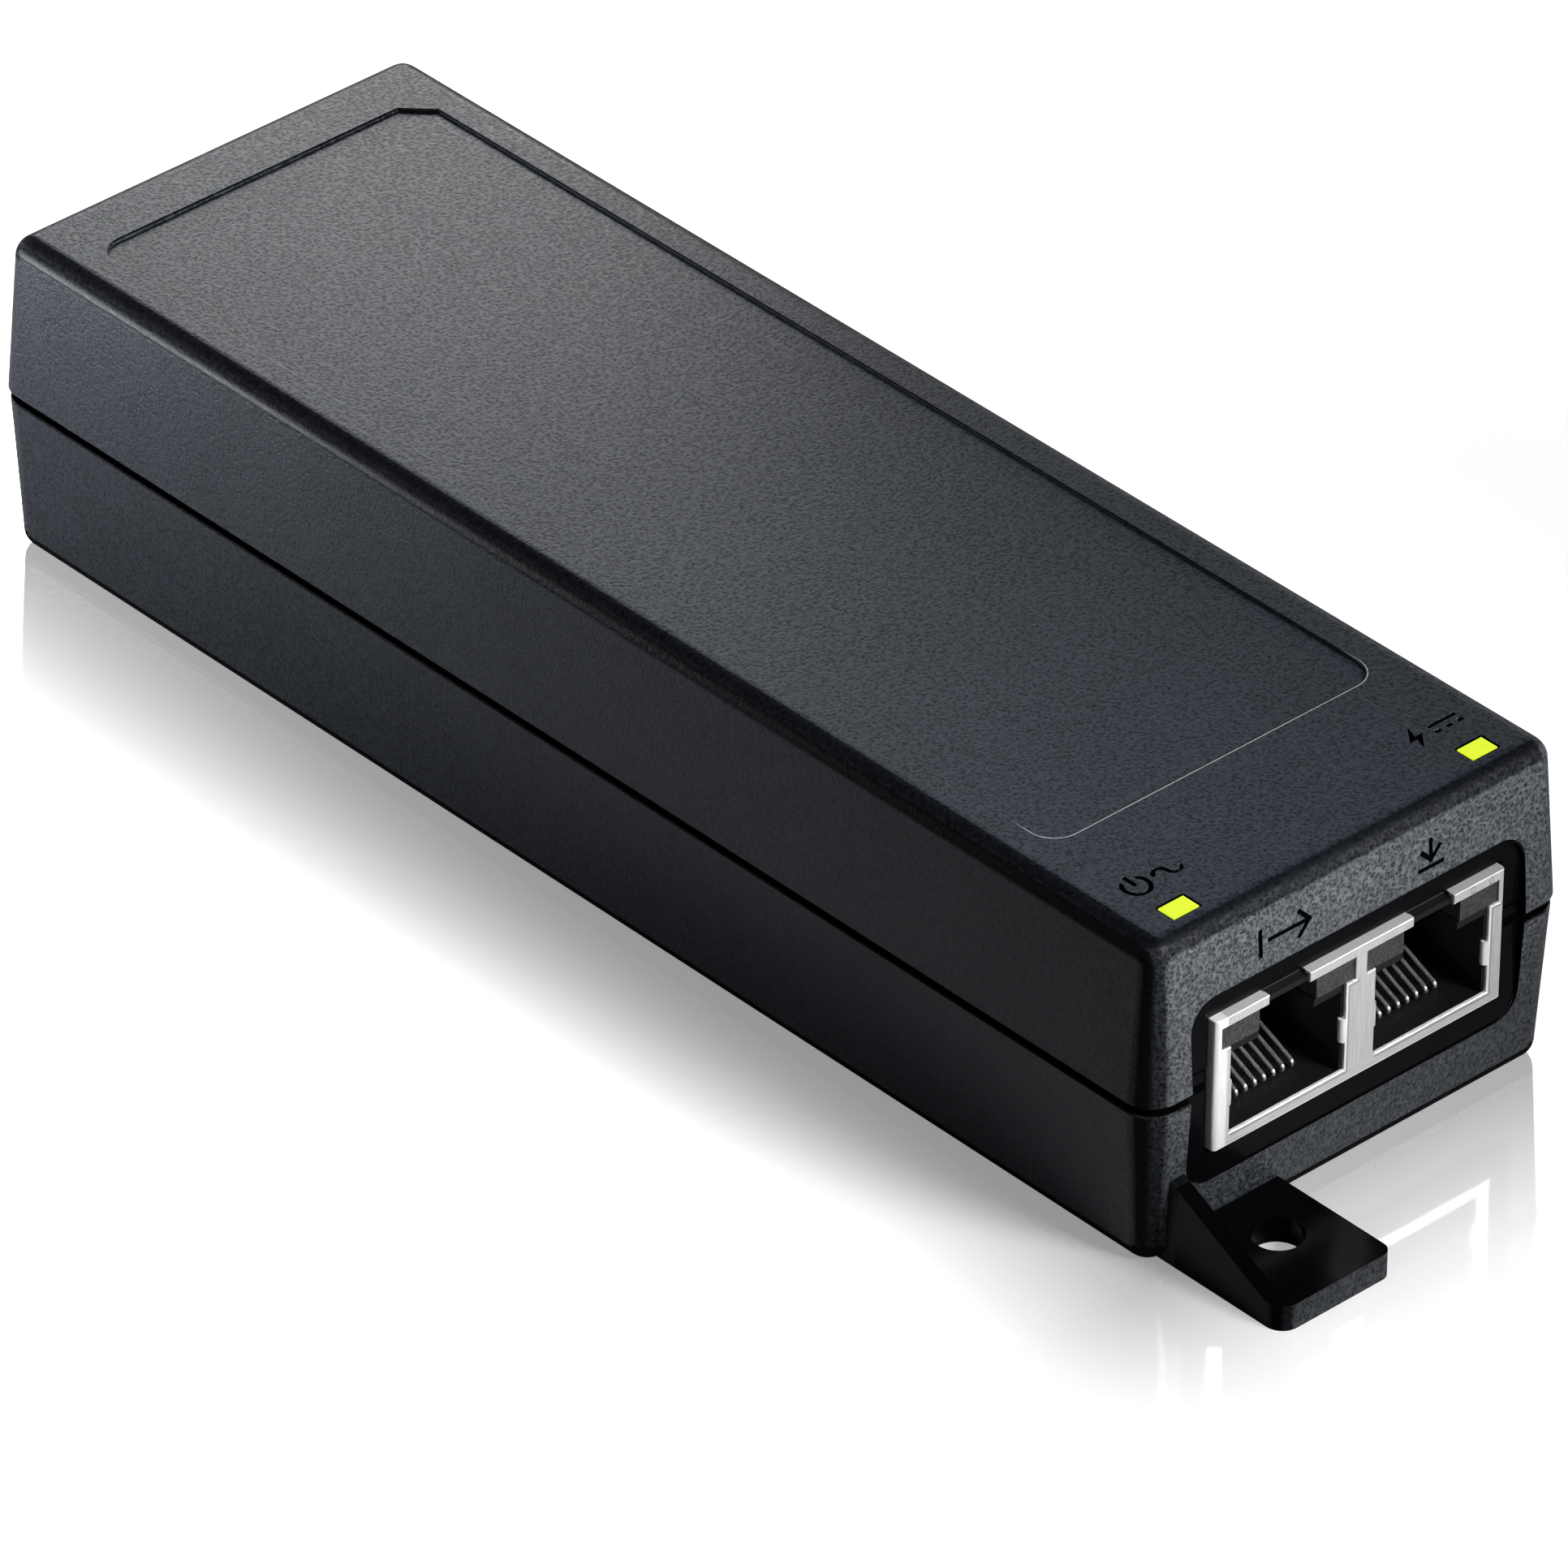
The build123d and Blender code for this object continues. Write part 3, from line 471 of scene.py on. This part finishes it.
def metal(name, low, high, roughness, streak, size):
    """A metal with streaks. The three parts of streak scale x, y and z before the noise is taken: a small
    one draws the streaks out along its axis, and three ones leave plain lumps."""
    material, start, shader = begin(name)
    grain = noise(place(start), size, 3.0, 0.6, streak)
    plug(shader["Base Color"], grain.blend(low, high))
    shader["Metallic"].default_value = 1.0
    plug(shader["Roughness"], roughness + 0.15 * (grain - 0.5))
    plug(shader["Normal"], bump(grain, 0.01 * mm))
    return material


aluminium = metal("heatsink_aluminium", colour(168, 170, 172), colour(198, 200, 202), 0.38,
                  (1, 0.05, 1), 0.3 * mm)
screw_steel = metal("screw_steel", colour(150, 150, 152), colour(190, 190, 192), 0.32,
                    (1, 1, 0.3), 0.25 * mm)
dress(aluminium, "primary_heatsink", "output_heatsink")
dress(screw_steel, "heatsink_screws", "case_screws")


# ---------------------------------------------------------------- mains inlet
# A three-pin appliance inlet moulded in black polyester, pressed into the rear wall, with nickel-plated
# brass pins whose tails turn down to the board.

socket_black = plastic("socket_black", colour(24, 24, 25), colour(31, 31, 33), 0.4, 0.35 * mm, 0.012 * mm)
dress(socket_black, "inlet_housing")
pin_nickel = metal("pin_nickel", colour(186, 184, 176), colour(214, 212, 204), 0.22, (1, 0.1, 1), 0.2 * mm)
dress(pin_nickel, "live_pin", "neutral_pin", "earth_pin")


# ---------------------------------------------------------------- twin data jack
# One folded tinplate can round a black insulator with two eight-way ports, and four clear lamp blocks in
# the ports' upper corners. It is soldered to the board, and its face stands in the front wall's pocket.

def shield_finish():
    """Bright tinplate. Round the lower and right sides of each opening a highlight is painted on the lip,
    with a line of painted shade beyond it; the right and bottom edges and the left flange carry painted
    highlights, each dent a ring of painted shade, and the notch behind the face painted shade. The way from
    a rectangular opening is the larger of |x - centre| less its half width and the way below its foot or
    above its head; the two openings of a port are one on the other, so the smaller of their ways counts."""
    material, start, shader = begin("shield_tin")
    where = place(start)
    x, y, z = where.split()
    low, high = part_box("jack_shield")
    height = z - low.z
    port_x = 7.85 * mm
    across = (x.size() - port_x).size()

    plug_half, plug_foot, plug_head = 6.25 * mm, 1.15 * mm, 10.4 * mm
    lamp_half, lamp_foot, lamp_head = 7.25 * mm, 9.4 * mm, 11.5 * mm
    plug_way = (across - plug_half).most(plug_foot - height).most(height - plug_head)
    lamp_way = (across - lamp_half).most(lamp_foot - height).most(height - lamp_head)
    way = plug_way.least(lamp_way)
    # Painted highlight on the lip round the lower and right sides of each opening, with a thin line of
    # painted shade just beyond it.
    highlit_sides = 1 - height.above(9.3 * mm, 0.1 * mm)
    highlit_sides = highlit_sides * (x - port_x * x.sign()).above(-6.1 * mm, 0.1 * mm)
    rim_highlight = (1 - way.above(0.16 * mm, 0.08 * mm)) * highlit_sides
    line = way.above(0.2 * mm, 0.06 * mm) * (1 - way.above(0.3 * mm, 0.14 * mm)) * highlit_sides

    upright = height.above(1.3 * mm, 0.3 * mm)
    streak_size = 0.12 * mm
    lengthways = noise(where, streak_size, 3.0, 0.6, (0.04, 1, 1))
    upwards = noise(where, streak_size, 3.0, 0.6, (1, 1, 0.04))
    streak = lengthways * (1 - upright) + upwards * upright
    # Painted highlights on the left flange and along the right and bottom edges of the can's face.
    left_flange_highlight = 1 - x.above(low.x + 1.1 * mm, 0.3 * mm)
    outer_highlight = (1 - (high.x - x).above(0.12 * mm, 0.06 * mm)).most(1 - height.above(0.12 * mm, 0.06 * mm))

    # Painted shade: a dark ring round each of the two dents.
    dent_shade = 0
    dent_height, dent_half_x, dent_half_z, dent_corner = 11.95 * mm, 0.2 * mm, 0.25 * mm, 0.1 * mm
    for dent_x in (12.15 * mm, 14.15 * mm):
        edge = beyond(x - dent_x, height - dent_height, dent_half_x, dent_half_z, dent_corner).size()
        dent_shade = dent_shade + (1 - edge.above(0.02 * mm, 0.06 * mm))
    # Painted shade: the sheet just behind the face, over the middle of each port, is painted dark grey, as
    # it lies in shade.
    notch_half, notch_start, notch_end, notch_foot = 2.25 * mm, 0.6 * mm, 2 * mm, 10.8 * mm
    notch = (1 - across.above(notch_half, 0.05 * mm)) * y.above(low.y + notch_start, 0.1 * mm)
    notch = notch * (1 - y.above(low.y + notch_end, 0.1 * mm)) * height.above(notch_foot, 0.1 * mm)

    # The tone sums the streaks with painted highlights on the lips, edges and left flange, and painted
    # shade on the lines and dent rings.
    tone = streak * 0.6 + rim_highlight * 0.6 + outer_highlight * 0.4 - line * 0.5 + left_flange_highlight * 0.5 - dent_shade * 0.6
    bright = tone.blend(colour(150, 152, 154), colour(250, 250, 250))
    plug(shader["Base Color"], notch.blend(bright, colour(58, 59, 60)))
    shader["Metallic"].default_value = 0.6
    plug(shader["Roughness"], 0.38 + 0.15 * (streak - 0.5))
    plug(shader["Normal"], bump(rim_highlight * 8 + streak, 0.006 * mm))
    return material


dress(shield_finish(), "jack_shield")
jack_black = plastic("jack_black", colour(4, 4, 4), colour(7, 7, 7), 0.55, 0.35 * mm, 0.012 * mm)
principled(jack_black)["Specular IOR Level"].default_value = 0.25
dress(jack_black, "jack_housing", "out_carrier", "in_carrier")
contact_plating = metal("contact_plating", colour(214, 214, 212), colour(232, 232, 230), 0.22,
                        (1, 1, 1), 0.3 * mm)
principled(contact_plating)["Metallic"].default_value = 0.93
dress(contact_plating, "out_leads", "in_leads")


def lens_finish():
    """Milky grey block, dark as its lamp is off."""
    material, start, shader = begin("lamp_lens")
    cloud = noise(place(start), 0.3 * mm, 3.0, 0.7).above(0.3, 0.4)
    plug(shader["Base Color"], cloud.blend(colour(16, 17, 18), colour(56, 57, 59)))
    plug(shader["Roughness"], 0.35 + 0.1 * cloud)
    shader["Specular IOR Level"].default_value = 0.3
    plug(shader["Normal"], bump(cloud, 0.02 * mm))
    return material


dress(lens_finish(), "jack_lamps")


# ---------------------------------------------------------------- contacts
# Eight phosphor-bronze wires in each port, plated bright. Each starts just above the floor near the front,
# folds back on itself and slopes up towards the comb at the back, short of it, so a plug presses it down.

def sweep(centre_line, side, width, thick, corners=12):
    """Tube of oval section along a flat path. A point of the section at angle t is
    (width/2 cos t, thick/2 sin t), laid along side and the path's normal."""
    steps = np.gradient(centre_line, axis=0)
    along = steps / np.linalg.norm(steps, axis=1, keepdims=True)
    normal = np.cross(along, side)
    angle = np.linspace(0, 2 * math.pi, corners, endpoint=False)
    across = width / 2 * np.cos(angle)
    through = thick / 2 * np.sin(angle)
    return centre_line[:, None] + across[None, :, None] * side + through[None, :, None] * normal[:, None]


def grid_mesh(name, grids, material, tube=False):
    """Mesh of grids of points with shape (grids, u, v, 3). For a tube, the first and last v of each grid
    are joined and each end is closed with one face."""
    count, rows, columns = grids.shape[:3]
    index = np.arange(rows * columns).reshape(rows, columns)
    u = np.arange(rows - 1)
    v = np.arange(columns if tube else columns - 1)
    low = index[np.ix_(u, v)]
    right = index[np.ix_(u, (v + 1) % columns)]
    far = index[np.ix_(u + 1, (v + 1) % columns)]
    left = index[np.ix_(u + 1, v)]
    quads = np.stack([low, right, far, left], axis=-1).reshape(-1, 4)
    starts = np.arange(count)[:, None, None] * rows * columns
    faces = (quads[None] + starts).reshape(-1, 4).tolist()
    if tube:
        ends = np.stack([index[0, ::-1], index[-1]])
        faces += (ends[None] + starts).reshape(-1, columns).tolist()
    mesh = bpy.data.meshes.new(name)
    mesh.from_pydata(grids.reshape(-1, 3).tolist(), [], faces)
    mesh.shade_smooth()
    mesh.materials.append(material)
    piece = bpy.data.objects.new(name, mesh)
    bpy.context.scene.collection.objects.link(piece)
    return piece


def contact_row(port):
    """The eight wires of one port. Each is a half-round fold about the joint and an arm that leaves it at
    25 degrees; it rides on the port's own body."""
    low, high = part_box(port)
    joint = next(j for j in frame["joints"] if j["child"] == port)
    _, fold_y, fold_z = joint["pos_m"]
    wires, width, thick, radius = 8, 0.4 * mm, 0.32 * mm, 0.3 * mm
    slope, reach = math.radians(25), 9.0 * mm
    fold_points, arm_points = 25, 30
    turn = np.linspace(-math.pi / 2, -3 * math.pi / 2 + slope, fold_points)
    curl = np.stack([0 * turn, fold_y + radius * np.cos(turn), fold_z + radius * np.sin(turn)], axis=1)
    run = np.linspace(0, reach, arm_points)[1:, None]
    line = np.concatenate([curl, curl[-1] + run * np.array([0, math.cos(slope), math.sin(slope)])])
    places = np.linspace(low.x + width / 2, high.x - width / 2, wires)
    sideways = np.array([1.0, 0, 0])
    wire = sweep(line, sideways, width, thick)
    grids = wire[None] + places[:, None, None, None] * sideways
    row = grid_mesh(f"{port}_wires", grids, contact_plating, tube=True)
    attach(row, port)
    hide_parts(port)


contact_row("out_contacts")
contact_row("in_contacts")


# ---------------------------------------------------------------- status lights
# Two clear light pipes stand on the board over their lamps; each head fills a window in the top shell
# and glows yellow-green when the supply or the port is on.

def window_finish():
    """Clear pipe whose head glows evenly."""
    material, start, shader = begin("light_window")
    where = place(start)
    _, _, z = where.split()
    glow = noise(where, 0.6 * mm, 1.0)
    head_foot = 26 * mm
    head = z.above(head_foot, 3 * mm)
    lit = glow.blend(colour(222, 242, 30), colour(230, 250, 44))
    plug(shader["Base Color"], head.blend(colour(60, 64, 40), colour(40, 48, 8)))
    plug(shader["Emission Color"], head.blend((0, 0, 0, 1), lit))
    shader["Emission Strength"].default_value = 0.95
    shader["Roughness"].default_value = 0.35
    return material


led_body = plastic("led_body", colour(222, 222, 214), colour(234, 234, 228), 0.4, 0.5 * mm, 0.01 * mm)
dress(window_finish(), "power_light_pipe", "supply_light_pipe")
dress(led_body, "power_led", "supply_led")


# ---------------------------------------------------------------- upper shell
# The top half drops over the lower shell's lip and is held by the four case screws. Its sunk panel and the
# small signs beside the lights and over the ports are part of the moulding.

dress(case_black, "upper_case")


# ---------------------------------------------------------------- rating label
# A bare label of dark polyester film, cut with rounded corners and stuck into a shallow recess of the
# underside.

label_film = plastic("label_film", colour(56, 57, 60), colour(64, 65, 68), 0.42, 2.0 * mm, 0.01 * mm)
dress(label_film, "rating_label")


# ---------------------------------------------------------------- studio
# Not part of the injector. A pale floor keeps its shadow and a trace of reflection, plain soft lamps and a
# white backdrop light it, and a long lens looks down on it.

def ray_kinds(start):
    """1 on camera rays, and 1 on mirrored or refracted rays."""
    rays = start.node("ShaderNodeLightPath", {}, {}).socket.node.outputs
    camera, glossy, through = (Signal(start.tree, rays[kind])
                               for kind in ("Is Camera Ray", "Is Glossy Ray", "Is Transmission Ray"))
    return camera, glossy.most(through)


def floor_finish():
    """Pale satin floor that mirrors the object faintly. The mirror's share falls from two thirds at the
    case to 0 at 32 mm from it, by the length of (|x| - half width, |y| - half length) where those are
    positive. The camera sees the rest of the floor lifted to white."""
    material, start, shader = begin("studio_floor")
    where = place(start)
    x, y, _ = where.split()
    _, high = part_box("upper_case")
    beyond_x = (x.size() - high.x).most(0)
    beyond_y = (y.size() - high.y).most(0)
    way = (beyond_x * beyond_x + beyond_y * beyond_y).root()
    near = 1 - way.above(-8 * mm, 40 * mm)
    tone = noise(where, 0.4, 1.0)
    plug(shader["Base Color"], tone.blend((0.60, 0.60, 0.603, 1), (0.62, 0.62, 0.623, 1)))
    shader["Roughness"].default_value = 0.9
    shader["Specular IOR Level"].default_value = 0.1
    camera, mirrored = ray_kinds(start)
    share = camera * near * 0.75
    seen = camera * 0.87 * (1 - share) + 0.06 * mirrored
    glow = start.node("ShaderNodeEmission", {}, {"Color": (1, 1, 1, 1), "Strength": seen})
    gloss = start.node("ShaderNodeBsdfGlossy", {}, {"Color": (1, 1, 1, 1), "Roughness": 0.05})
    tree = material.node_tree
    matt = Signal(tree, tree.nodes["Principled BSDF"].outputs[0])
    satin = mix_shaders(share, matt, gloss)
    finish_with(material, start.node("ShaderNodeAddShader", {}, {0: satin, 1: glow}))
    return material


def studio_floor():
    """A flat square under the object."""
    half, points_a_side = 3.0, 9
    side = np.linspace(-half, half, points_a_side)
    x, y = np.meshgrid(side, side, indexing="xy")
    foot = cad_box[0][2]
    points = np.stack([x, y, np.full_like(x, foot)], axis=-1)
    floor = grid_mesh("studio_floor", points[None], floor_finish())


def lamp(name, where, aim, width, height, radiance, spread=180):
    """Soft rectangular lamp: its power is radiance times pi times its area. A spread below 180 degrees is
    that of a softbox with a grid. Lengths are in metres."""
    data = bpy.data.lights.new(name, "AREA")
    data.shape = "RECTANGLE"
    data.size = width
    data.size_y = height
    data.energy = radiance * math.pi * width * height
    data.spread = math.radians(spread)
    made = bpy.data.objects.new(name, data)
    bpy.context.scene.collection.objects.link(made)
    direction = Vector(aim) - Vector(where)
    made.visible_camera = False
    made.matrix_world = Matrix.Translation(where) @ direction.to_track_quat("-Z", "Y").to_matrix().to_4x4()


def pale_world():
    """White backdrop where the camera sees it, soft grey light elsewhere. A mirror sees it white low down
    and a dim ceiling higher up, with a round white card in it: the card is where the product of the ray's
    and the card's unit vectors passes the cosine of 6.5 degrees."""
    world = bpy.data.worlds.new("studio")
    world.use_nodes = True
    bpy.context.scene.world = world
    start = Signal(world.node_tree)
    camera, mirrored = ray_kinds(start)
    x, y, z = start.node("ShaderNodeTexCoord", {}, {}).split()
    card_x, card_y, card_z, card_edge = 0.557, 0.605, 0.569, 0.9935
    card = (card_x * x + card_y * y + card_z * z).above(card_edge, 0.003)
    skyline = 0.12
    backdrop = 1 - z.above(skyline, 0.3)
    soft_light, white, dimming = 0.15, 0.92, 0.07
    strength = camera.most(soft_light + mirrored * (white * backdrop.most(card) - dimming))
    background = world.node_tree.nodes["Background"].inputs
    background["Color"].default_value = (1, 1, 1, 1)
    plug(background["Strength"], strength)


def long_camera():
    """Long lens, looking down on the front left corner. back is the unit vector from the aim to the camera,
    (sin azimuth cos elevation, -cos azimuth cos elevation, sin elevation)."""
    azimuth, elevation, roll = math.radians(-42.6511), math.radians(34.7053), math.radians(-0.4842)
    aim = Vector((-0.01261, -0.01668, 0.015))
    distance = 1.10235
    back = Vector((math.sin(azimuth) * math.cos(elevation), -math.cos(azimuth) * math.cos(elevation),
                   math.sin(elevation)))
    level = Vector((math.cos(azimuth), math.sin(azimuth), 0))
    upward = back.cross(level)
    right = math.cos(roll) * level - math.sin(roll) * upward
    up = math.sin(roll) * level + math.cos(roll) * upward
    data = bpy.data.cameras.new("camera")
    data.sensor_width, data.lens = 36, 316.23
    data.clip_start, data.clip_end = 0.01, 20
    camera = bpy.data.objects.new("camera", data)
    bpy.context.scene.collection.objects.link(camera)
    turn = Matrix((right, up, back)).transposed().to_4x4()
    camera.matrix_world = Matrix.Translation(aim + distance * back) @ turn
    bpy.context.scene.camera = camera


studio_floor()
pale_world()
lamp("rear_lamp", (0.105, 0.185, 0.105), aim=(0, 0.10, 0.03),
     width=0.10, height=0.07, radiance=1.2, spread=70)
lamp("front_lamp", (0.42, -0.50, 0.16), aim=(0, -0.06, 0.015),
     width=0.25, height=0.20, radiance=0.7)
lamp("low_lamp", (0.03, -0.20, 0.14), aim=(-0.008, -0.07, 0.056),
     width=0.08, height=0.06, radiance=6.2, spread=35)
lamp("high_lamp", (0.20, -0.55, 0.40), aim=(0, -0.06, 0.015),
     width=0.30, height=0.30, radiance=0.8)
lamp("left_lamp", (-0.11, 0.165, 0.028), aim=(-0.02, 0.10, 0.044),
     width=0.10, height=0.04, radiance=25, spread=62)
long_camera()
bpy.context.scene.view_settings.view_transform = "Standard"
